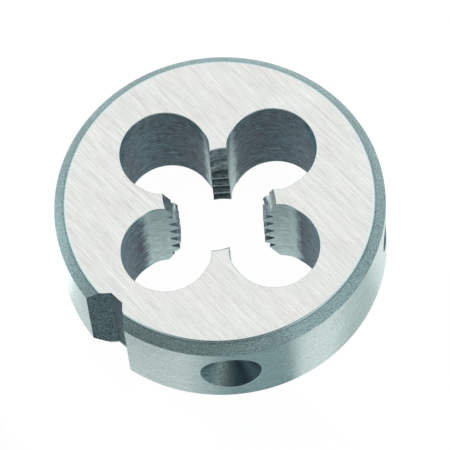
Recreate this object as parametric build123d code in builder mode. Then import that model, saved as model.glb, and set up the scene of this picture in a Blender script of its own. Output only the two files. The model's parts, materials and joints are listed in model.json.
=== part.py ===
from build123d import *
import os
from math import ceil, radians, tan

os.makedirs("parts", exist_ok=True)

# Round threading die for a left-hand M8 x 1.25 thread in the 25 x 9 mm body size: one
# piece of hardened tool steel. The origin is the centre of the lower face, with +Z up.
# The four lands lie on the X and Y axes, and the adjusting notch faces the chip hole
# between -X and -Y.

# ---- driving dimensions, in millimetres and degrees ----------------------------------

# turned body
outer_diameter = 25.0
thickness = 9.0
edge_chamfer = 0.85

# thread that the die cuts
thread_diameter = 8.0
thread_pitch = 1.25
thread_angle = 60.0
tooth_height = 0.80         # from the bottom of the groove to the tip of the tooth
thread_start = 0.71         # height of the groove above the lower face, where it crosses +X
root_flat = 0.156           # flat at the bottom of the groove
lead_in_clearance = 0.54    # the cone's mouth is this much wider than the thread
lead_in_length = 2.19       # 1.75 turns, at the upper face
lead_in_relief = 0.65       # each land's cone stands this far towards the heel of the land
lead_out_clearance = 0.8    # of the plain cone at the lower face
lead_out_length = 2.45

# chip holes, and the lands that they leave between them
land_count = 4
chip_hole_diameter = 6.75
chip_hole_pitch_diameter = 11.5
land_width = 1.32           # across the two ground flanks
flank_reach = 4.45          # distance from the axis to which the flanks are flat
flank_wheel_radius = 2.0    # of the grinding wheel that dresses them

# notch in the rim, where the die can be slit for adjustment
notch_direction = 225.0
notch_floor_radius = 10.96
notch_floor_width = 1.22
notch_included_angle = 88.0

# conical seats in the rim for the screws of a die holder, two on each side of the notch
near_seat_angle = 47.0
far_seat_angle = 133.0
seat_height = 4.75
seat_depth = 2.55
seat_included_angle = 90.0

# how far a cutter runs past the surface it starts from
overrun = 1.0
groove_overrun = 0.1        # short, so that the grooves of neighbouring turns stay apart

# ---- values worked out from them -----------------------------------------------------

outer_radius = outer_diameter / 2
thread_radius = thread_diameter / 2
tooth_tip_radius = thread_radius - tooth_height
lead_in_radius = thread_radius + lead_in_clearance / 2
lead_out_radius = thread_radius + lead_out_clearance / 2
groove_flank_slope = tan(radians(thread_angle / 2))
notch_flank_slope = tan(radians(notch_included_angle / 2))
seat_slope = tan(radians(seat_included_angle / 2))
land_step = 360 / land_count

# ---- thread groove, as long as it takes to cross one land ----------------------------

with BuildPart() as groove_across_land:
    groove_arc = land_step * 2 / 3
    with BuildLine() as groove_path:
        Helix(
            pitch=thread_pitch,
            height=thread_pitch * groove_arc / 360,
            radius=thread_radius,
            lefthand=True,
        )
    with BuildSketch(Plane.XZ):
        with BuildLine():
            mouth_radius = tooth_tip_radius - groove_overrun
            mouth_half = root_flat / 2 + (thread_radius - mouth_radius) * groove_flank_slope
            Polyline(
                (thread_radius, -root_flat / 2),
                (thread_radius, root_flat / 2),
                (mouth_radius, mouth_half),
                (mouth_radius, -mouth_half),
                close=True,
            )
        make_face()
    sweep(path=groove_path.line, is_frenet=True)

# ---- lead-in cone at the upper face, as much of it as meets the land on the X axis -----

with BuildPart() as lead_in_at_land:
    lead_in_slope = (lead_in_radius - tooth_tip_radius) / lead_in_length
    cone_depth = lead_in_length + overrun
    with Locations((0, -lead_in_relief, thickness - cone_depth)):
        Cone(
            bottom_radius=lead_in_radius - lead_in_slope * cone_depth,
            top_radius=lead_in_radius + lead_in_slope * overrun,
            height=cone_depth + overrun,
            align=(Align.CENTER, Align.CENTER, Align.MIN),
        )
    with Locations((0, 0, thickness)):
        Box(
            2 * lead_in_radius,
            1.6 * land_width,
            2 * cone_depth + overrun,
            align=(Align.MIN, Align.CENTER, Align.CENTER),
            mode=Mode.INTERSECT,
        )

# ---- the die -------------------------------------------------------------------------

with BuildPart() as threading_die:
    # turned body: chamfered rim, bore at tooth-tip size and a plain cone at the lower
    # face. Its profile stands in a plane between two lands, clear of the teeth.
    with BuildSketch(Plane.XZ.rotated((0, 0, land_step / 2))):
        with BuildLine():
            Polyline(
                (lead_out_radius, 0),
                (outer_radius - edge_chamfer, 0),
                (outer_radius, edge_chamfer),
                (outer_radius, thickness - edge_chamfer),
                (outer_radius - edge_chamfer, thickness),
                (tooth_tip_radius, thickness),
                (tooth_tip_radius, lead_out_length),
                close=True,
            )
        make_face()
    revolve(axis=Axis.Z)

    # chip holes, drilled right through, which open into the bore and leave the lands
    # standing, and the flat flanks that are then ground on both sides of each land
    with BuildSketch():
        with PolarLocations(chip_hole_pitch_diameter / 2, land_count, start_angle=land_step / 2):
            Circle(chip_hole_diameter / 2)
        wheel_offset = land_width / 2 + flank_wheel_radius
        wheel_travel = flank_reach - tooth_tip_radius
        with PolarLocations((flank_reach + tooth_tip_radius) / 2, land_count):
            with Locations((0, wheel_offset), (0, -wheel_offset)):
                SlotCenterToCenter(wheel_travel, 2 * flank_wheel_radius)
    extrude(amount=thickness, mode=Mode.SUBTRACT)

    # lead-in at the upper face: each land comes nearest to the axis on its cutting side,
    # and falls away from there
    with PolarLocations(0, land_count):
        add(lead_in_at_land.part, mode=Mode.SUBTRACT)

    # thread: left-hand, so the groove climbs clockwise, one pitch a turn, and each land in
    # turn is cut a fraction of the pitch higher, from below the lower face to above the
    # upper one
    crossings = ceil((thickness / thread_pitch + 2) * land_count)
    rise = thread_pitch / land_count
    for crossing in range(crossings):
        middle = thread_start + (crossing - land_count) * rise
        height = middle - thread_pitch * groove_arc / 720
        turn = groove_arc / 2 - crossing * land_step
        with Locations(Location((0, 0, height), (0, 0, turn))):
            add(groove_across_land.part, mode=Mode.SUBTRACT)

    # adjusting notch, its floor square to the line through the axis of the die
    with BuildSketch(Plane.XY.rotated((0, 0, notch_direction))):
        with BuildLine():
            notch_mouth_radius = outer_radius + overrun
            notch_depth = notch_mouth_radius - notch_floor_radius
            notch_mouth_half = notch_floor_width / 2 + notch_depth * notch_flank_slope
            Polyline(
                (notch_floor_radius, -notch_floor_width / 2),
                (notch_floor_radius, notch_floor_width / 2),
                (notch_mouth_radius, notch_mouth_half),
                (notch_mouth_radius, -notch_mouth_half),
                close=True,
            )
        make_face()
    extrude(amount=thickness, mode=Mode.SUBTRACT)

    # screw seats, their axes square to the rim
    cone_length = seat_depth + overrun
    for seat_angle in (near_seat_angle, far_seat_angle, -far_seat_angle, -near_seat_angle):
        outward = Vector(1, 0, 0).rotate(Axis.Z, notch_direction + seat_angle)
        seat_tip = outward * (outer_radius - seat_depth) + Vector(0, 0, seat_height)
        with Locations(Plane(origin=seat_tip, z_dir=outward)):
            Cone(
                bottom_radius=0,
                top_radius=cone_length * seat_slope,
                height=cone_length,
                align=(Align.CENTER, Align.CENTER, Align.MIN),
                mode=Mode.SUBTRACT,
            )

threading_die.part.label = "threading_die"
export_step(threading_die.part, "parts/threading_die.step")
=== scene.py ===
import json
from math import atan2, cos, pi, radians, sin, sqrt, tan

import bmesh
import bpy
from mathutils import Matrix, Vector


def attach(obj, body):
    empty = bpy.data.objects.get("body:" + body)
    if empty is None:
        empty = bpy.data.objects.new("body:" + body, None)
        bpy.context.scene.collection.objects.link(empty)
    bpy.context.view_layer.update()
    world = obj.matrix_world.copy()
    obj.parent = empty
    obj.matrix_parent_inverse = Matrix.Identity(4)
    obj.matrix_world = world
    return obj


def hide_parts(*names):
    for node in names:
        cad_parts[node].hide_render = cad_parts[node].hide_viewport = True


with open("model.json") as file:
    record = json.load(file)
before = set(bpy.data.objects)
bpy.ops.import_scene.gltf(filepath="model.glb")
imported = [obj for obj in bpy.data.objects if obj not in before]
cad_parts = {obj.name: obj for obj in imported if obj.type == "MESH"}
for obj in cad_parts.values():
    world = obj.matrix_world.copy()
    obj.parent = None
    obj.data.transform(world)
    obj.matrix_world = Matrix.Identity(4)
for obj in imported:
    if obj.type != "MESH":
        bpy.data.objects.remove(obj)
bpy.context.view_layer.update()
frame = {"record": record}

# Round threading die: one disc of hardened steel. The visible piece stands for the CAD node and
# has the same form, with the edges broken as on the ground tool, so that they catch the light.
# Lengths are metres in the shared frame: +Z up, the lower face at z = 0, lands on X and Y.

# ---- sizes ---------------------------------------------------------------------------

MM = 0.001

# body, from the frame
WIDTH, _, THICKNESS = frame["record"]["size"]["bbox_m"]
OUTER_RADIUS = WIDTH / 2
CHAMFER = 0.85 * MM
BROKEN_EDGE = 0.06 * MM
FACE_EDGE = 0.10 * MM      # the edge between a face and its chamfer, eased a little more
EDGE_STEPS = 4

# thread
THREAD_RADIUS = 4.0 * MM
PITCH = 1.25 * MM
THREAD_START = 0.71 * MM   # height of the groove above the lower face, where it crosses +X
TOOTH_TIP_RADIUS = 3.2 * MM
ROOT_FLAT = 0.156 * MM
FLANK_ANGLE = radians(30)
LEAD_IN_RADIUS = 4.27 * MM
LEAD_IN_LENGTH = 2.19 * MM
LEAD_IN_RELIEF = 0.65 * MM  # each land's cone stands this far towards the heel of the land
LEAD_OUT_RADIUS = 4.4 * MM
LEAD_OUT_LENGTH = 2.45 * MM

# chip holes and lands
LANDS = 4
CHIP_HOLE_RADIUS = 3.375 * MM
CHIP_HOLE_CENTRE = 5.75 * MM / sqrt(2)
LAND_HALF = 0.66 * MM
FLANK_REACH = 4.45 * MM
WHEEL_RADIUS = 2.0 * MM

# notch
NOTCH_DIRECTION = radians(225)
NOTCH_FLOOR_RADIUS = 10.96 * MM
NOTCH_FLOOR_HALF = 0.61 * MM
NOTCH_FLANK_ANGLE = radians(44)

# screw seats
SEAT_DEGREES = 47          # from the notch to the two seats next to it; the other two mirror them
SEAT_ANGLES = [
    NOTCH_DIRECTION + radians(a)
    for a in (SEAT_DEGREES, 180 - SEAT_DEGREES, SEAT_DEGREES - 180, -SEAT_DEGREES)
]
SEAT_HEIGHT = 4.75 * MM
SEAT_DEPTH = 2.55 * MM
SEAT_TIP_RADIUS = 0.06 * MM

# fineness of the mesh
BODY_SEGMENTS = 288
CONE_SEGMENTS = 192
TURN_SEGMENTS = 96
SEAT_SEGMENTS = 72
ARC_STEP = radians(3)
WELD_DISTANCE = 0.0005 * MM
HARD_EDGE_ANGLE = radians(32)

# cutters
BEYOND = 1.0 * MM          # how far a cutter stands out of the steel
GROOVE_BEYOND = 0.1 * MM   # how far the cutter of the groove stands out into the bore
CONE_OVERRUN = 1.3         # the length of the cutter of a cone, over that of the cone
TURNS_BELOW = 2            # turns of the groove's cutter below the lower face
TURNS_ABOVE = 1
SHARPEST_CORNER = 0.5      # a corner moves out by at most the offset over this
NOTCH_ROUNDS = 4           # rounds of working out where a cutter's mouth meets the rim
SEAT_ROUNDS = 6

# the finishes, in the order of the mesh's material slots
FACE, EDGE, CHAMFERED, RIM, CHIP_HOLE, THREAD, NOTCH, SEAT = range(8)


# ---- mesh helpers ---------------------------------------------------------------------

def object_from(bm, name):
    """Turns an edit mesh into an object of the scene."""
    mesh = bpy.data.meshes.new(name)
    bm.to_mesh(mesh)
    bm.free()
    made = bpy.data.objects.new(name, mesh)
    bpy.context.collection.objects.link(made)
    return made


def skinned(name, rings, finishes, cap_finish=FACE):
    """A closed solid through rings of equally many points, with a finish for each strip."""
    bm = bmesh.new()
    loops = [[bm.verts.new(point) for point in ring] for ring in rings]
    count = len(rings[0])
    for lower, upper, finish in zip(loops, loops[1:], finishes):
        for i in range(count):
            j = (i + 1) % count
            face = bm.faces.new((lower[i], lower[j], upper[j], upper[i]))
            face.material_index = finish
    for loop in (loops[0], loops[-1]):
        bm.faces.new(loop).material_index = cap_finish
    bmesh.ops.recalc_face_normals(bm, faces=bm.faces)
    return object_from(bm, name)


def circle(radius, z, segments):
    """Points round Z at a height."""
    angles = [2 * pi * i / segments for i in range(segments)]
    return [Vector((radius * cos(a), radius * sin(a), z)) for a in angles]


def turned(name, profile, finishes, segments):
    """A solid turned round Z from a profile of (radius, height) points."""
    rings = [circle(radius, z, segments) for radius, z in profile]
    return skinned(name, rings, finishes)


def eased(before, corner, after, size):
    """A corner of a profile, rounded over the given size, as EDGE_STEPS + 1 points."""
    corner = Vector(corner)
    start = corner + (Vector(before) - corner).normalized() * size
    end = corner + (Vector(after) - corner).normalized() * size
    points = []
    for i in range(EDGE_STEPS + 1):
        t = i / EDGE_STEPS
        points.append(start * (1 - t) ** 2 + corner * 2 * t * (1 - t) + end * t * t)
    return points


def profile_with_edges(points, edges, finishes):
    """Rounds each inner corner of a profile by its edge's size, and gives each strip its finish."""
    profile = [Vector(points[0])]
    strips = []
    for i in range(1, len(points) - 1):
        strips.append(finishes[i - 1])
        size, edge_finish = edges[i - 1]
        profile += eased(points[i - 1], points[i], points[i + 1], size)
        strips += [edge_finish] * EDGE_STEPS
    profile.append(Vector(points[-1]))
    strips.append(finishes[-1])
    return profile, strips


def cut(body, cutter):
    """Subtracts the cutter, whose finishes pass to the faces that it leaves."""
    step = body.modifiers.new("cut", "BOOLEAN")
    step.operation = "DIFFERENCE"
    step.solver = "EXACT"
    step.material_mode = "INDEX"
    step.object = cutter
    evaluated = body.evaluated_get(bpy.context.evaluated_depsgraph_get())
    mesh = bpy.data.meshes.new_from_object(evaluated)
    body.modifiers.remove(step)
    body.data = mesh
    bpy.data.objects.remove(cutter)


# ---- the blank and its cutters --------------------------------------------------------

def turned_blank():
    """The disc before it is cut, with a narrow ring of each face drawn outside its cap."""
    corners = [
        (OUTER_RADIUS - 2 * CHAMFER, 0),
        (OUTER_RADIUS - CHAMFER, 0),
        (OUTER_RADIUS, CHAMFER),
        (OUTER_RADIUS, THICKNESS - CHAMFER),
        (OUTER_RADIUS - CHAMFER, THICKNESS),
        (OUTER_RADIUS - 2 * CHAMFER, THICKNESS),
    ]
    profile, strips = profile_with_edges(
        corners,
        [(FACE_EDGE, EDGE), (BROKEN_EDGE, CHAMFERED), (BROKEN_EDGE, CHAMFERED), (FACE_EDGE, EDGE)],
        [FACE, CHAMFERED, RIM, CHAMFERED, FACE],
    )
    return turned("threading_die_steel", profile, strips, BODY_SEGMENTS)


def arc(centre, radius, start, end):
    """Points on an arc in the XY plane, ends included."""
    steps = max(2, round(abs(end - start) / ARC_STEP))
    angles = [start + (end - start) * i / steps for i in range(steps + 1)]
    return [Vector((centre[0] + radius * cos(a), centre[1] + radius * sin(a))) for a in angles]


def flank_run_out():
    """Where the flank of the land on +X, an arc round the wheel's centre, meets the chip hole."""
    wheel = Vector((FLANK_REACH, LAND_HALF + WHEEL_RADIUS))
    hole = Vector((CHIP_HOLE_CENTRE, CHIP_HOLE_CENTRE))
    between = hole - wheel
    along = (between.length_squared + WHEEL_RADIUS**2 - CHIP_HOLE_RADIUS**2) / (2 * between.length)
    across = sqrt(WHEEL_RADIUS**2 - along**2)
    side = between.normalized()
    run_out = wheel + side * along + Vector((side.y, -side.x)) * across
    wheel_angle = atan2(run_out.y - wheel.y, run_out.x - wheel.x)
    hole_angle = atan2(run_out.y - hole.y, run_out.x - hole.x)
    return wheel, wheel_angle, hole, hole_angle


# half the length of the drilled wall between two flanks, along its arc
WALL_HALF_LENGTH = (pi / 4 - flank_run_out()[3]) * CHIP_HOLE_RADIUS


def chip_hole_outline():
    """The outline of one chip hole, from the land on +X to the land on +Y."""
    wheel, wheel_end, hole, wall_start = flank_run_out()
    flank = [Vector((TOOTH_TIP_RADIUS, LAND_HALF))] + arc(wheel, WHEEL_RADIUS, -pi / 2, wheel_end)
    wall = arc(hole, CHIP_HOLE_RADIUS, wall_start, pi / 2 - wall_start)
    back = [Vector((p.y, p.x)) for p in reversed(flank)]
    return flank[:-1] + wall + back[1:]


def opening_outline():
    """The outline of all that is open right through: the bore and the chip holes around it."""
    quarter = chip_hole_outline()
    points = []
    finishes = []
    for i in range(LANDS):
        turn = Matrix.Rotation(2 * pi * i / LANDS, 2)
        points += [turn @ p for p in quarter]
        finishes += [CHIP_HOLE] * (len(quarter) - 1) + [THREAD]
    return points, finishes


def widened(outline, offset):
    """An outline moved into the steel by the offset."""
    moved = []
    count = len(outline)
    for i, point in enumerate(outline):
        before = (point - outline[i - 1]).normalized()
        after = (outline[(i + 1) % count] - point).normalized()
        normal_before = Vector((before.y, -before.x))
        normal_after = Vector((after.y, -after.x))
        middle = (normal_before + normal_after).normalized()
        moved.append(point + middle * offset / max(SHARPEST_CORNER, middle.dot(normal_after)))
    return moved


def flared_heights():
    """(height, offset) steps of a cutter that breaks the edges at both faces of the die."""
    steps = [(-BEYOND, BROKEN_EDGE)]
    for i in range(EDGE_STEPS + 1):
        a = pi / 2 * i / EDGE_STEPS
        steps.append((BROKEN_EDGE * (1 - cos(a)), BROKEN_EDGE * (1 - sin(a))))
    return steps + [(THICKNESS - z, offset) for z, offset in reversed(steps)]


def through_cutter(name, outline, finishes):
    """A cutter with the outline, right through the die, with its edges broken at both faces."""
    rings = []
    for z, offset in flared_heights():
        rings.append([p.to_3d() + Vector((0, 0, z)) for p in widened(outline, offset)])
    made = skinned(name, rings, [EDGE] * (len(rings) - 1))
    # the strip between the two broken edges carries the finishes of the outline
    middle = EDGE_STEPS + 1
    count = len(outline)
    for i, finish in enumerate(finishes):
        made.data.polygons[middle * count + i].material_index = finish
    return made


def relieved_ring(radius, z):
    """A circle for each land, set off to one side of it, cut off halfway to the next land."""
    points = []
    for land in range(LANDS):
        middle = 2 * pi * land / LANDS
        for i in range(CONE_SEGMENTS // LANDS + 1):
            a = (i * LANDS / CONE_SEGMENTS - 0.5) * 2 * pi / LANDS
            along = LEAD_IN_RELIEF * cos(a)
            r = sqrt(radius * radius - along * along) - LEAD_IN_RELIEF * sin(a)
            points.append(Vector((r * cos(middle + a), r * sin(middle + a), z)))
    return points


def cone_profile(radius, length):
    """From inside the bore, out along a cone, round its mouth and clear of the face."""
    slope = (radius - TOOTH_TIP_RADIUS) / length
    depth = length * CONE_OVERRUN
    corners = [(radius - slope * depth, depth), (radius, 0), (radius + BEYOND, 0)]
    edge = eased(corners[0], corners[1], corners[2], BROKEN_EDGE)
    return [Vector(corners[0])] + edge + [edge[-1] + Vector((0, -BEYOND))]


CONE_STRIPS = [THREAD] + [EDGE] * (EDGE_STEPS + 1)


def lead_in_cutter():
    """At the upper face: each land is nearest to the axis on its cutting side."""
    profile = cone_profile(LEAD_IN_RADIUS, LEAD_IN_LENGTH)
    rings = [relieved_ring(p.x, THICKNESS - p.y) for p in profile]
    return skinned("lead_in_cutter", rings, CONE_STRIPS)


def lead_out_cutter():
    """At the lower face: a plain cone."""
    profile = cone_profile(LEAD_OUT_RADIUS, LEAD_OUT_LENGTH)
    return turned("lead_out_cutter", profile, CONE_STRIPS, CONE_SEGMENTS)


def thread_cutter():
    """The groove between the teeth: a V with a narrow flat, wound on a left-hand helix."""
    mouth = TOOTH_TIP_RADIUS - GROOVE_BEYOND
    root_half = ROOT_FLAT / 2
    mouth_half = root_half + (THREAD_RADIUS - mouth) * tan(FLANK_ANGLE)
    section = [
        (THREAD_RADIUS, -root_half),
        (THREAD_RADIUS, root_half),
        (mouth, mouth_half),
        (mouth, -mouth_half),
    ]
    turns = THICKNESS / PITCH + TURNS_BELOW + TURNS_ABOVE
    rings = []
    for i in range(round(turns * TURN_SEGMENTS) + 1):
        a = -2 * pi * i / TURN_SEGMENTS
        rise = PITCH * (i / TURN_SEGMENTS - TURNS_BELOW) + THREAD_START
        rings.append([Vector((r * cos(a), r * sin(a), z + rise)) for r, z in reversed(section)])
    return skinned("thread_cutter", rings, [THREAD] * (len(rings) - 1), THREAD)


def notch_outline():
    """The notch's outline, with its outer corners eased where they meet the rim."""

    def half_width(radius):
        return NOTCH_FLOOR_HALF + (radius - NOTCH_FLOOR_RADIUS) * tan(NOTCH_FLANK_ANGLE)

    # the radius at which a flank reaches the rim
    mouth = OUTER_RADIUS
    for _ in range(NOTCH_ROUNDS):
        mouth = sqrt(OUTER_RADIUS**2 - half_width(mouth) ** 2)
    corner = Vector((mouth, half_width(mouth)))
    inner = Vector((NOTCH_FLOOR_RADIUS, NOTCH_FLOOR_HALF))
    along_rim = corner + Vector((-corner.y, corner.x)).normalized() * CHAMFER
    edge = eased(inner, corner, along_rim, BROKEN_EDGE)
    side = [inner] + edge + [edge[-1] + corner.normalized() * BEYOND]
    other = [Vector((p.x, -p.y)) for p in reversed(side)]
    turn = Matrix.Rotation(NOTCH_DIRECTION, 2)
    points = [turn @ p for p in other + side]
    return points, [NOTCH] * len(points)


def seat_cutter(angle):
    """A 90 degree cone square to the rim, its mouth eased all the way round."""
    tip = OUTER_RADIUS - SEAT_DEPTH

    def at(reach, radius, around):
        """A point along the seat's axis, and off it by the radius in a direction round it."""
        return Vector((reach, radius * cos(around), SEAT_HEIGHT + radius * sin(around)))

    def rim_reach(radius, around):
        return sqrt(OUTER_RADIUS**2 - (radius * cos(around)) ** 2)

    arounds = [2 * pi * i / SEAT_SEGMENTS for i in range(SEAT_SEGMENTS)]
    columns = []
    for around in arounds:
        mouth = SEAT_DEPTH
        for _ in range(SEAT_ROUNDS):
            mouth = rim_reach(mouth, around) - tip
        outer = mouth + BROKEN_EDGE
        corner = Vector((mouth, tip + mouth))
        before = Vector((0, tip))
        after = Vector((outer, rim_reach(outer, around)))
        edge = eased(before, corner, after, BROKEN_EDGE)
        column = [Vector((SEAT_TIP_RADIUS, tip + SEAT_TIP_RADIUS))] + edge
        column.append(edge[-1] + Vector((0, BEYOND)))
        columns.append([at(p.y, p.x, around) for p in column])
    turn = Matrix.Rotation(angle, 3, "Z")
    rings = [[turn @ column[i] for column in columns] for i in range(len(columns[0]))]
    strips = [SEAT] + [EDGE] * (EDGE_STEPS + 1)
    return skinned("seat_cutter", rings, strips, SEAT)


def sharpened(body):
    """Smooth shading, with hard edges where two surfaces meet at an angle."""
    bm = bmesh.new()
    bm.from_mesh(body.data)
    bmesh.ops.remove_doubles(bm, verts=bm.verts, dist=WELD_DISTANCE)
    for face in bm.faces:
        face.smooth = True
    for edge in bm.edges:
        edge.smooth = len(edge.link_faces) == 2 and edge.calc_face_angle(0) < HARD_EDGE_ANGLE
    bm.to_mesh(body.data)
    bm.free()
    weigh = body.modifiers.new("flat_faces_stay_flat", "WEIGHTED_NORMAL")
    weigh.mode = "FACE_AREA"
    weigh.weight = 100
    weigh.keep_sharp = True


def steel_die():
    """The whole die, cut in the order in which a maker would cut it, the thread last."""
    body = turned_blank()
    for angle in SEAT_ANGLES:
        cut(body, seat_cutter(angle))
    cut(body, through_cutter("notch_cutter", *notch_outline()))
    cut(body, through_cutter("opening_cutter", *opening_outline()))
    cut(body, lead_out_cutter())
    cut(body, lead_in_cutter())
    cut(body, thread_cutter())
    sharpened(body)
    return body


# ---- shader helpers -------------------------------------------------------------------

def place(tree, kind, inputs=None, **settings):
    """Adds a node, with its settings, and with each input set or linked."""
    made = tree.nodes.new(kind)
    for setting, value in settings.items():
        setattr(made, setting, value)
    for socket, value in (inputs or {}).items():
        if isinstance(value, bpy.types.NodeSocket):
            tree.links.new(value, made.inputs[socket])
        else:
            made.inputs[socket].default_value = value
    return made


def cleared_tree(owner):
    """The node tree of a new material or world, emptied."""
    owner.use_nodes = True
    owner.node_tree.nodes.clear()
    return owner.node_tree


def math(tree, operation, first, second=0.0):
    """The result of a sum on two values."""
    return place(tree, "ShaderNodeMath", {0: first, 1: second}, operation=operation).outputs[0]


def new_group(name, inputs, outputs):
    """An empty shader node group with named sockets, and its two end nodes."""
    tree = bpy.data.node_groups.new(name, "ShaderNodeTree")
    for socket, kind in inputs:
        tree.interface.new_socket(socket, in_out="INPUT", socket_type=kind)
    for socket, kind in outputs:
        tree.interface.new_socket(socket, in_out="OUTPUT", socket_type=kind)
    start = tree.nodes.new("NodeGroupInput").outputs
    end = tree.nodes.new("NodeGroupOutput").inputs
    return tree, start, end


MARK_GAIN = 4.0            # spreads the noise, which keeps near its middle, over -1 to 1


def tool_marks_group():
    """Scratches along X of the given length and width. Mark runs from -1 to 1."""
    tree, start, end = new_group(
        "tool_marks",
        [("Position", "NodeSocketVector"), ("Length", "NodeSocketFloat"), ("Width", "NodeSocketFloat")],
        [("Mark", "NodeSocketFloat")],
    )
    size = place(tree, "ShaderNodeCombineXYZ", {0: start["Length"], 1: start["Width"], 2: start["Width"]})
    scaled = place(
        tree, "ShaderNodeVectorMath", {0: start["Position"], 1: size.outputs[0]}, operation="DIVIDE"
    )
    noise = place(
        tree,
        "ShaderNodeTexNoise",
        {"Vector": scaled.outputs[0], "Scale": 1.0, "Detail": 3.0, "Roughness": 0.65},
    )
    centred = math(tree, "SUBTRACT", noise.outputs[0], 0.5)
    tree.links.new(math(tree, "MULTIPLY", centred, MARK_GAIN), end["Mark"])


def grain_group():
    """Speckle of the given size, without direction. Mark runs from -1 to 1."""
    tree, start, end = new_group(
        "grain",
        [("Position", "NodeSocketVector"), ("Size", "NodeSocketFloat")],
        [("Mark", "NodeSocketFloat")],
    )
    scale = math(tree, "DIVIDE", 1.0, start["Size"])
    noise = place(
        tree,
        "ShaderNodeTexNoise",
        {"Vector": start["Position"], "Scale": scale, "Detail": 2.0, "Roughness": 0.6},
    )
    centred = math(tree, "SUBTRACT", noise.outputs[0], 0.5)
    tree.links.new(math(tree, "MULTIPLY", centred, MARK_GAIN), end["Mark"])


def around_group():
    """Unrolls the space round Z: X is the length along a circle of the radius, Y is the height,
    and Z is the distance from the axis."""
    tree, start, end = new_group(
        "around",
        [("Position", "NodeSocketVector"), ("Radius", "NodeSocketFloat")],
        [("Unrolled", "NodeSocketVector")],
    )
    parts = place(tree, "ShaderNodeSeparateXYZ", {0: start["Position"]}).outputs
    angle = math(tree, "ARCTAN2", parts["Y"], parts["X"])
    along = math(tree, "MULTIPLY", angle, start["Radius"])
    squares = math(tree, "ADD", math(tree, "POWER", parts["X"], 2.0), math(tree, "POWER", parts["Y"], 2.0))
    off_axis = math(tree, "SQRT", squares)
    unrolled = place(tree, "ShaderNodeCombineXYZ", {0: along, 1: parts["Z"], 2: off_axis})
    tree.links.new(unrolled.outputs[0], end["Unrolled"])


def soft_step_group():
    """A mask that goes from 0 to 1 as Value passes Edge, over Softness to each side."""
    tree, start, end = new_group(
        "soft_step",
        [("Value", "NodeSocketFloat"), ("Edge", "NodeSocketFloat"), ("Softness", "NodeSocketFloat")],
        [("Mask", "NodeSocketFloat")],
    )
    beyond = math(tree, "DIVIDE", math(tree, "SUBTRACT", start["Value"], start["Edge"]), start["Softness"])
    ramp = place(
        tree, "ShaderNodeMapRange", {"Value": beyond, "From Min": -1.0}, interpolation_type="SMOOTHSTEP"
    )
    tree.links.new(ramp.outputs[0], end["Mask"])


OIL_ROUGHNESS = 0.35


def as_tint(value):
    """A colour given as three numbers gets its fourth, and one from a node stays as it is."""
    return (*value, 1.0) if isinstance(value, tuple) else value


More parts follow.
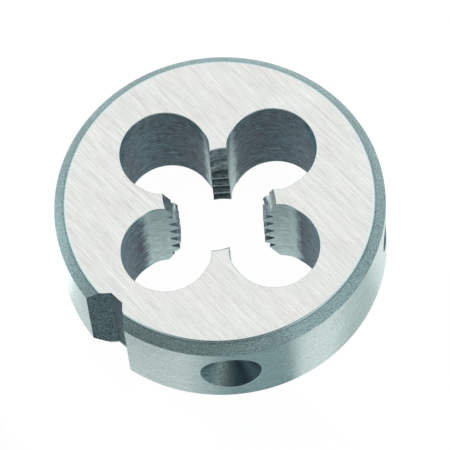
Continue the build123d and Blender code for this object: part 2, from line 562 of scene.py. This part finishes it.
class Finish:
    """A steel finish under construction: its material, its shader and where its marks run."""

    def __init__(self, name, roughness, anisotropy=0.0, oil=0.0):
        self.material = bpy.data.materials.new(name)
        self.tree = cleared_tree(self.material)
        self.roughness = roughness
        self.shader = place(
            self.tree,
            "ShaderNodeBsdfPrincipled",
            {
                "Metallic": 1.0,
                "Roughness": roughness,
                "Anisotropic": anisotropy,
                "Coat Weight": oil,
                "Coat Roughness": OIL_ROUGHNESS,
            },
        )
        place(self.tree, "ShaderNodeOutputMaterial", {"Surface": self.shader.outputs[0]})
        self.position = place(self.tree, "ShaderNodeTexCoord").outputs["Object"]

    def group(self, name, inputs, output):
        """One output of a shared node group."""
        made = place(self.tree, "ShaderNodeGroup", inputs, node_tree=bpy.data.node_groups[name])
        return made.outputs[output]

    def turned_position(self, angle, position=None):
        """A position, the object's own unless another is given, turned round Z."""
        return place(
            self.tree,
            "ShaderNodeVectorRotate",
            {"Vector": position or self.position, "Angle": angle},
            rotation_type="Z_AXIS",
        ).outputs[0]

    def round_the_die(self, radius):
        """Unrolled round the die's axis, with the join in the notch."""
        position = self.turned_position(pi - NOTCH_DIRECTION)
        return self.group("around", {"Position": position, "Radius": radius}, "Unrolled")

    def round_each_hole(self):
        """Unrolled round the axis of the nearest chip hole, from its side next to the rim."""
        folded = place(self.tree, "ShaderNodeVectorMath", {0: self.position}, operation="ABSOLUTE")
        centre = (CHIP_HOLE_CENTRE, CHIP_HOLE_CENTRE, 0.0)
        local = place(
            self.tree, "ShaderNodeVectorMath", {0: folded.outputs[0], 1: centre}, operation="SUBTRACT"
        )
        outward_first = self.turned_position(-pi / 4, local.outputs[0])
        return self.group("around", {"Position": outward_first, "Radius": CHIP_HOLE_RADIUS}, "Unrolled")

    def parts(self, vector):
        """The X, Y and Z of a vector."""
        return place(self.tree, "ShaderNodeSeparateXYZ", {0: vector}).outputs

    def marks(self, position, length, width):
        """Scratches along X of the position."""
        return self.group("tool_marks", {"Position": position, "Length": length, "Width": width}, "Mark")

    def grain(self, size):
        """Speckle without direction."""
        return self.group("grain", {"Position": self.position, "Size": size}, "Mark")

    def soft_step(self, value, edge, softness):
        """A mask: 0 below the edge and 1 above it, with the softness to each side."""
        return self.group("soft_step", {"Value": value, "Edge": edge, "Softness": softness}, "Mask")

    def math(self, operation, first, second=0.0):
        return math(self.tree, operation, first, second)

    def blend(self, *shares):
        """The sum of marks, each with its share."""
        total = None
        for mark, share in shares:
            part = self.math("MULTIPLY", mark, share)
            total = part if total is None else self.math("ADD", total, part)
        return total

    def between(self, mask, first, second):
        """A value that goes from the first to the second with the mask."""
        mix = place(self.tree, "ShaderNodeMix", {0: mask, 2: first, 3: second}, data_type="FLOAT")
        return mix.outputs[0]

    def tint_between(self, mask, first, second):
        """A colour that goes from the first to the second with the mask."""
        mix = place(
            self.tree,
            "ShaderNodeMix",
            {0: mask, 6: as_tint(first), 7: as_tint(second)},
            data_type="RGBA",
        )
        return mix.outputs[2]

    def coloured(self, tint, marks):
        """Tint, lightened and darkened by the marks."""
        level = self.math("ADD", marks, 1.0)
        scaled = place(self.tree, "ShaderNodeVectorMath", {0: tint, "Scale": level}, operation="SCALE")
        self.tree.links.new(scaled.outputs[0], self.shader.inputs["Base Color"])

    def roughened(self, marks, roughness=None):
        """Roughness, the finish's own unless another is given, raised and lowered by the marks."""
        level = self.math("ADD", marks, roughness or self.roughness)
        self.tree.links.new(level, self.shader.inputs["Roughness"])

    def bumped(self, marks, depth):
        """Marks that stand out by the depth."""
        bump = place(self.tree, "ShaderNodeBump", {"Height": marks, "Strength": 1.0, "Distance": depth})
        self.tree.links.new(bump.outputs[0], self.shader.inputs["Normal"])

    def grooved_round_z(self):
        """Turns the anisotropy so that reflections spread up and down, across round-going lines."""
        upward = place(self.tree, "ShaderNodeCombineXYZ", {2: 1.0})
        self.tree.links.new(upward.outputs[0], self.shader.inputs["Tangent"])


# ---- the finishes of the die ----------------------------------------------------------

GRIND_DIRECTION = radians(-48)


def ground_face():
    """Surface-ground: fine straight lines right across the face."""
    made = Finish("ground_face", 0.3)
    lines = made.turned_position(-GRIND_DIRECTION)
    fine = made.marks(lines, 2.2 * MM, 0.07 * MM)
    broad = made.marks(lines, 5.0 * MM, 0.35 * MM)
    band = made.marks(lines, 9.0 * MM, 2.0 * MM)
    cloud = made.grain(3.0 * MM)
    warm = (0.815, 0.785, 0.765)
    neutral = (0.79, 0.785, 0.765)
    patches = made.soft_step(made.blend((band, 0.6), (cloud, 0.6)), 0.0, 0.5)
    tint = made.tint_between(patches, warm, neutral)
    made.coloured(tint, made.blend((fine, 0.25), (broad, 0.06), (cloud, 0.015)))
    made.roughened(made.blend((fine, 0.1), (broad, 0.04)))
    made.bumped(fine, 0.0016 * MM)
    return made.material


def broken_edge():
    """Edges just broken: bright and smooth."""
    made = Finish("broken_edge", 0.25)
    speckle = made.grain(0.2 * MM)
    made.coloured((0.74, 0.86, 0.85), made.blend((speckle, 0.05)))
    made.roughened(made.blend((speckle, 0.05)))
    return made.material


def turned_chamfer():
    """Satin and slightly granular, with faint lines round the die."""
    made = Finish("turned_chamfer", 0.42)
    lines = made.round_the_die(OUTER_RADIUS)
    fine = made.marks(lines, 1.0 * MM, 0.05 * MM)
    speckle = made.grain(0.1 * MM)
    cloud = made.grain(2.5 * MM)
    # a darker line where the chamfer meets the face
    outwards = made.parts(lines)["Z"]
    line_end = OUTER_RADIUS - CHAMFER + 0.16 * MM
    dark_line = (0.23, 0.35, 0.37)
    satin = (0.36, 0.495, 0.50)
    tint = made.tint_between(made.soft_step(outwards, line_end, 0.08 * MM), dark_line, satin)
    made.coloured(tint, made.blend((fine, 0.2), (speckle, 0.65), (cloud, 0.1)))
    made.roughened(made.blend((speckle, 0.08)))
    made.bumped(speckle, 0.004 * MM)
    return made.material


def ground_rim():
    """Cylindrically ground: brushed lines round the rim, which spread light up and down."""
    made = Finish("ground_rim", 0.36, anisotropy=0.8)
    made.grooved_round_z()
    lines = made.round_the_die(OUTER_RADIUS)
    fine = made.marks(lines, 1.6 * MM, 0.07 * MM)
    broad = made.marks(lines, 6.0 * MM, 0.5 * MM)
    speckle = made.grain(0.16 * MM)
    made.coloured((0.655, 0.785, 0.765), made.blend((fine, 0.2), (broad, 0.08), (speckle, 0.22)))
    made.roughened(made.blend((fine, 0.05)))
    made.bumped(fine, 0.0015 * MM)
    return made.material


def chip_hole():
    """Drilled and dark from hardening, and ground bright where a wheel has dressed the lands."""
    made = Finish("chip_hole", 0.6, anisotropy=0.9, oil=0.6)
    made.grooved_round_z()
    unrolled = made.round_each_hole()
    fine = made.marks(unrolled, 1.1 * MM, 0.08 * MM)
    broad = made.marks(unrolled, 2.2 * MM, 0.3 * MM)
    blotch = made.grain(0.5 * MM)
    speckle = made.grain(0.13 * MM)
    # how far along the wall from its middle, frayed where the wheel ran out
    reach = made.math("ABSOLUTE", made.parts(unrolled)["X"])
    fray = made.blend((broad, 0.05 * MM), (blotch, 0.15 * MM))
    ground = made.soft_step(made.math("ADD", reach, fray), WALL_HALF_LENGTH - 0.05 * MM, 0.45 * MM)
    hardened = (0.12, 0.225, 0.27)
    dressed = (0.58, 0.765, 0.76)
    tint = made.tint_between(ground, hardened, dressed)
    strength = made.between(ground, 1.0, 0.33)
    marks = made.blend((fine, 1.2), (broad, 0.3), (blotch, 0.5), (speckle, 0.6))
    made.coloured(tint, made.math("MULTIPLY", marks, strength))
    made.roughened(made.blend((fine, 0.06)), made.between(ground, made.roughness, 0.36))
    made.bumped(made.math("MULTIPLY", fine, strength), 0.005 * MM)
    return made.material


def cut_thread():
    """Teeth and lead-in: dull at the tips, paler on the lead-in, with painted shade in the grooves and a
    painted highlight on one land's lead-in.
    """
    made = Finish("cut_thread", 0.4, anisotropy=0.7, oil=0.15)
    made.grooved_round_z()
    unrolled = made.round_the_die(THREAD_RADIUS)
    fine = made.marks(unrolled, 0.6 * MM, 0.06 * MM)
    broad = made.marks(unrolled, 1.6 * MM, 0.22 * MM)
    cloud = made.grain(0.4 * MM)
    # depth below the crests, which follow the bore and then the lead-in cone
    height = made.parts(unrolled)["Y"]
    off_axis = made.parts(unrolled)["Z"]
    from_face = made.math("SUBTRACT", THICKNESS, height)
    slope = (LEAD_IN_RADIUS - TOOTH_TIP_RADIUS) / LEAD_IN_LENGTH
    cone = made.math("SUBTRACT", LEAD_IN_RADIUS, made.math("MULTIPLY", from_face, slope))
    crest = made.math("MAXIMUM", cone, TOOTH_TIP_RADIUS)
    # painted shade: the colour darkens deep in the grooves, where the teeth above shade them
    groove = made.soft_step(made.math("SUBTRACT", off_axis, crest), 0.2 * MM, 0.15 * MM)
    lead_in = made.soft_step(off_axis, TOOTH_TIP_RADIUS + 0.15 * MM, 0.1 * MM)
    # the lead-in of the land on +X is painted much lighter: a painted highlight on its facet
    lighter_side = made.soft_step(made.parts(made.position)["X"], TOOTH_TIP_RADIUS + 0.35 * MM, 0.15 * MM)
    dull = (0.27, 0.37, 0.40)
    paler = (0.42, 0.53, 0.56)
    # the colour of the painted highlight
    lighter_tint = (0.82, 0.97, 0.95)
    # the colour of the painted shade in the grooves
    dark = (0.17, 0.23, 0.25)
    ridge = made.tint_between(lighter_side, made.tint_between(lead_in, dull, paler), lighter_tint)
    tint = made.tint_between(groove, ridge, dark)
    made.coloured(tint, made.blend((fine, 0.7), (broad, 0.5), (cloud, 0.35)))
    made.roughened(made.blend((cloud, 0.05)))
    made.bumped(fine, 0.006 * MM)
    return made.material


def milled_notch():
    """Dark and speckled from hardening, and lighter on one flank."""
    made = Finish("milled_notch", 0.45)
    lines = made.round_the_die(OUTER_RADIUS)
    streak = made.marks(lines, 1.0 * MM, 0.12 * MM)
    speckle = made.grain(0.13 * MM)
    cloud = made.grain(0.9 * MM)
    # the flank on the anticlockwise side is the lighter one
    across = made.parts(made.turned_position(-NOTCH_DIRECTION))["Y"]
    lighter_side = made.soft_step(across, NOTCH_FLOOR_HALF + 0.1 * MM, 0.15 * MM)
    hardened = (0.058, 0.115, 0.13)
    lighter_tint = (0.35, 0.60, 0.56)
    tint = made.tint_between(lighter_side, hardened, lighter_tint)
    made.coloured(tint, made.blend((streak, 1.1), (speckle, 1.5), (cloud, 0.3)))
    made.roughened(made.blend((speckle, 0.06)))
    made.bumped(speckle, 0.008 * MM)
    return made.material


def countersunk_seat():
    """Countersunk and speckled, with painted shade: darker and plainer on one side of each seat."""
    made = Finish("countersunk_seat", 0.3)
    speckle = made.grain(0.12 * MM)
    cloud = made.grain(0.7 * MM)
    # distance along the rim from the line square to the notch: each seat gets painted shade, darker on the
    # nearer side
    along_rim = made.math("ABSOLUTE", made.parts(made.round_the_die(OUTER_RADIUS))["X"])
    quarter = pi / 2 * OUTER_RADIUS
    from_quarter = made.math("ABSOLUTE", made.math("SUBTRACT", along_rim, quarter))
    dark_end = radians(90 - SEAT_DEGREES) * OUTER_RADIUS + 0.35 * MM
    lighter_side = made.soft_step(from_quarter, dark_end, 0.8 * MM)
    # the colour of the painted shade
    dark = (0.065, 0.115, 0.135)
    pale = (0.32, 0.42, 0.41)
    tint = made.tint_between(lighter_side, dark, pale)
    marks = made.blend((speckle, 0.8), (cloud, 0.15))
    made.coloured(tint, made.math("MULTIPLY", marks, made.between(lighter_side, 0.3, 1.0)))
    made.roughened(made.blend((speckle, 0.06)))
    made.bumped(speckle, 0.002 * MM)
    return made.material


# ---- studio ---------------------------------------------------------------------------

CENTRE = Vector((0, 0, THICKNESS / 2))
CAMERA_AZIMUTH = radians(-85.69)
CAMERA_ELEVATION = radians(64.36)
CAMERA_DISTANCE = 0.300
CAMERA_ROLL = radians(-6.20)
IMAGE_SIZE = 450
FOCAL_PIXELS = 3943.6
CENTRE_PIXEL = (221.908, 224.898)
SENSOR = 36.0


def direction(azimuth, elevation):
    """The unit vector that points outwards at an azimuth and an elevation."""
    return Vector((cos(azimuth) * cos(elevation), sin(azimuth) * cos(elevation), sin(elevation)))


def make_camera():
    """Looks down at the middle of the die from in front, rolled a little."""
    data = bpy.data.cameras.new("camera")
    data.sensor_width = SENSOR
    data.lens = FOCAL_PIXELS / IMAGE_SIZE * SENSOR
    data.shift_x = (IMAGE_SIZE / 2 - CENTRE_PIXEL[0]) / IMAGE_SIZE
    data.shift_y = (CENTRE_PIXEL[1] - IMAGE_SIZE / 2) / IMAGE_SIZE
    data.clip_start = 0.01
    data.clip_end = 20
    made = bpy.data.objects.new("camera", data)
    bpy.context.collection.objects.link(made)
    outward = direction(CAMERA_AZIMUTH, CAMERA_ELEVATION)
    right = (-outward).cross(Vector((0, 0, 1))).normalized()
    up = right.cross(-outward)
    rolled_right = right * cos(CAMERA_ROLL) + up * sin(CAMERA_ROLL)
    rolled_up = up * cos(CAMERA_ROLL) - right * sin(CAMERA_ROLL)
    turn = Matrix((rolled_right, rolled_up, outward)).transposed()
    made.matrix_world = Matrix.Translation(CENTRE + outward * CAMERA_DISTANCE) @ turn.to_4x4()
    bpy.context.scene.camera = made


def softbox(name, azimuth, elevation, distance, width, height, radiance):
    """An area light that faces the die and shows in the steel with the given brightness."""
    data = bpy.data.lights.new(name, "AREA")
    data.shape = "RECTANGLE"
    data.size = width
    data.size_y = height
    data.energy = radiance * pi * width * height
    made = bpy.data.objects.new(name, data)
    bpy.context.collection.objects.link(made)
    outward = direction(azimuth, elevation)
    made.location = CENTRE + outward * distance
    made.rotation_euler = outward.to_track_quat("Z", "Y").to_euler()


# Cards on the floor round the die, seen only in what the steel reflects. For each, in degrees, the
# azimuths where it starts and ends, and over how much it fades in and out, then its inner and outer
# radius, its colour, and whether it fans out, so that its ends stand upright in the rim.
RIM_CARD = (OUTER_RADIUS + 0.1 * MM, 0.06)
FAR_CARD = (0.022, 0.12)
CARDS = {
    "grey_card": ((-104, -63), (16, 5), RIM_CARD, (0.265, 0.355, 0.375), True),
    "right_white_card": ((-67, -46), (7, 10), RIM_CARD, (0.95, 0.95, 0.95), True),
    "right_grey_card": ((-50, -22), (8, 10), RIM_CARD, (0.56, 0.60, 0.59), True),
    "left_white_card": ((155, 197), (10, 14), RIM_CARD, (2.0, 2.0, 2.0), False),
    "back_white_card": ((-20, 85), (12, 25), RIM_CARD, (1.0, 1.0, 1.0), False),
    "black_card": ((198, 250), (10, 10), FAR_CARD, (0.05, 0.06, 0.06), False),
}
CARD_LIFT = 0.1 * MM       # from each card up to the next
CARD_STEP = radians(2)


def make_card(name, lift, sector, fades, radii, colour, fanned):
    """A sector of card that glows a little and fades out at both ends."""
    start, end = (radians(a) for a in sector)
    fade_in, fade_out = (radians(a) for a in fades)
    bm = bmesh.new()
    cover = bm.verts.layers.float.new("cover")
    spread = 1 - radii[0] / radii[1] if fanned else 0
    steps = round((end - start) / CARD_STEP)
    pairs = []
    for i in range(steps + 1):
        azimuth = start + (end - start) * i / steps
        fan = (azimuth - CAMERA_AZIMUTH) * spread
        pair = [
            bm.verts.new(direction(azimuth, 0) * radii[0] + Vector((0, 0, lift))),
            bm.verts.new(direction(azimuth + fan, 0) * radii[1] + Vector((0, 0, lift))),
        ]
        for vert in pair:
            vert[cover] = min(1, (azimuth - start) / fade_in, (end - azimuth) / fade_out)
        pairs.append(pair)
    for (a, b), (c, d) in zip(pairs, pairs[1:]):
        bm.faces.new((a, b, d, c))
    card = object_from(bm, name)
    board = bpy.data.materials.new(name)
    tree = cleared_tree(board)
    share = place(tree, "ShaderNodeAttribute", attribute_name="cover").outputs["Fac"]
    clear = place(tree, "ShaderNodeBsdfTransparent")
    glow = place(tree, "ShaderNodeEmission", {"Color": (*colour, 1.0)})
    mixed = place(tree, "ShaderNodeMixShader", {0: share, 1: clear.outputs[0], 2: glow.outputs[0]})
    place(tree, "ShaderNodeOutputMaterial", {"Surface": mixed.outputs[0]})
    card.data.materials.append(board)
    card.visible_camera = False
    card.visible_shadow = False


FLOOR_SIZE = 3.0
WHITE = (1.0, 1.0, 1.0, 1.0)
PAPER = (0.9, 0.9, 0.9, 1.0)
PAPER_GLOW = 1.03          # just over white
GLOW_SEEN = 0.95           # the share of the glow, as the camera sees the paper
GLOW_UNDER_DIE = 0.62      # and as the steel sees it, inside this radius
UNDER_DIE_RADIUS = OUTER_RADIUS * 0.9
GLOW_IN_THE_OPEN = 0.6


def make_floor():
    """A pale floor: pure white to the eye, a little darker in what the steel reflects."""
    bm = bmesh.new()
    bmesh.ops.create_grid(bm, x_segments=8, y_segments=8, size=FLOOR_SIZE / 2)
    floor = object_from(bm, "floor")
    paper = bpy.data.materials.new("paper")
    tree = cleared_tree(paper)
    lit = place(tree, "ShaderNodeBsdfDiffuse", {"Color": PAPER})
    glow = place(tree, "ShaderNodeEmission", {"Color": WHITE, "Strength": PAPER_GLOW})
    seen = place(tree, "ShaderNodeLightPath").outputs["Is Camera Ray"]
    spot = place(tree, "ShaderNodeTexCoord").outputs["Object"]
    from_axis = place(tree, "ShaderNodeVectorMath", {0: spot}, operation="LENGTH").outputs["Value"]
    open_floor = place(
        tree,
        "ShaderNodeMapRange",
        {
            "Value": from_axis,
            "From Min": UNDER_DIE_RADIUS,
            "From Max": OUTER_RADIUS,
            "To Min": GLOW_UNDER_DIE,
            "To Max": GLOW_IN_THE_OPEN,
        },
    ).outputs[0]
    share = math(tree, "MAXIMUM", math(tree, "MULTIPLY", seen, GLOW_SEEN), open_floor)
    mixed = place(tree, "ShaderNodeMixShader", {0: share, 1: lit.outputs[0], 2: glow.outputs[0]})
    place(tree, "ShaderNodeOutputMaterial", {"Surface": mixed.outputs[0]})
    floor.data.materials.append(paper)


def make_world():
    """A light studio, dimmer near the floor and in front, and dark where the camera stands."""
    world = bpy.data.worlds.new("studio")
    bpy.context.scene.world = world
    tree = cleared_tree(world)
    look = place(tree, "ShaderNodeTexCoord").outputs["Generated"]

    def toward(azimuth, elevation, far, near, level):
        """A factor that falls from 1, far from a direction, to the level, near to it."""
        aim = direction(azimuth, elevation)
        nearness = place(tree, "ShaderNodeVectorMath", {0: look, 1: aim}, operation="DOT_PRODUCT")
        return place(
            tree,
            "ShaderNodeMapRange",
            {
                "Value": nearness.outputs["Value"],
                "From Min": cos(far),
                "From Max": cos(near),
                "To Min": 1.0,
                "To Max": level,
            },
            interpolation_type="SMOOTHSTEP",
        ).outputs[0]

    height = place(tree, "ShaderNodeSeparateXYZ", {0: look}).outputs["Z"]
    tent = place(
        tree,
        "ShaderNodeMapRange",
        {"Value": height, "From Min": 0.1, "From Max": 0.6, "To Min": 0.43, "To Max": 0.95},
        interpolation_type="SMOOTHSTEP",
    ).outputs[0]
    front = toward(CAMERA_AZIMUTH, radians(30), far=radians(75), near=radians(30), level=0.7)
    camera_side = toward(CAMERA_AZIMUTH, radians(60), far=radians(38), near=radians(15), level=0.15)
    left_front = toward(NOTCH_DIRECTION, 0, far=radians(40), near=radians(12), level=0.28)
    bright = math(tree, "MULTIPLY", tent, front)
    shade = math(tree, "MULTIPLY", camera_side, left_front)
    level = math(tree, "MULTIPLY", bright, shade)
    around = place(tree, "ShaderNodeBackground", {"Color": (0.96, 1.0, 1.0, 1.0), "Strength": level})
    seen = place(tree, "ShaderNodeLightPath").outputs["Is Camera Ray"]
    backdrop = place(tree, "ShaderNodeBackground", {"Color": WHITE, "Strength": 1.0})
    mixed = place(tree, "ShaderNodeMixShader", {0: seen, 1: around.outputs[0], 2: backdrop.outputs[0]})
    place(tree, "ShaderNodeOutputWorld", {"Surface": mixed.outputs[0]})


def make_studio():
    """The camera, the floor with its cards, the world and two soft lights."""
    make_camera()
    make_floor()
    for order, (name, measures) in enumerate(CARDS.items(), 1):
        make_card(name, order * CARD_LIFT, *measures)
    make_world()
    bpy.context.scene.view_settings.view_transform = "Standard"
    softbox(
        "overhead",
        azimuth=CAMERA_AZIMUTH + pi,
        elevation=radians(66),
        distance=0.6,
        width=0.5,
        height=0.5,
        radiance=0.1,
    )
    softbox(
        "right_strip",
        azimuth=radians(-44),
        elevation=radians(22),
        distance=0.5,
        width=0.2,
        height=0.2,
        radiance=0.8,
    )


# ---- assembly -------------------------------------------------------------------------

tool_marks_group()
grain_group()
around_group()
soft_step_group()
finish_materials = [
    ground_face(),
    broken_edge(),
    turned_chamfer(),
    ground_rim(),
    chip_hole(),
    cut_thread(),
    milled_notch(),
    countersunk_seat(),
]

die = steel_die()
for material in finish_materials:
    die.data.materials.append(material)
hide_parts("threading_die")
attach(die, "root")

make_studio()
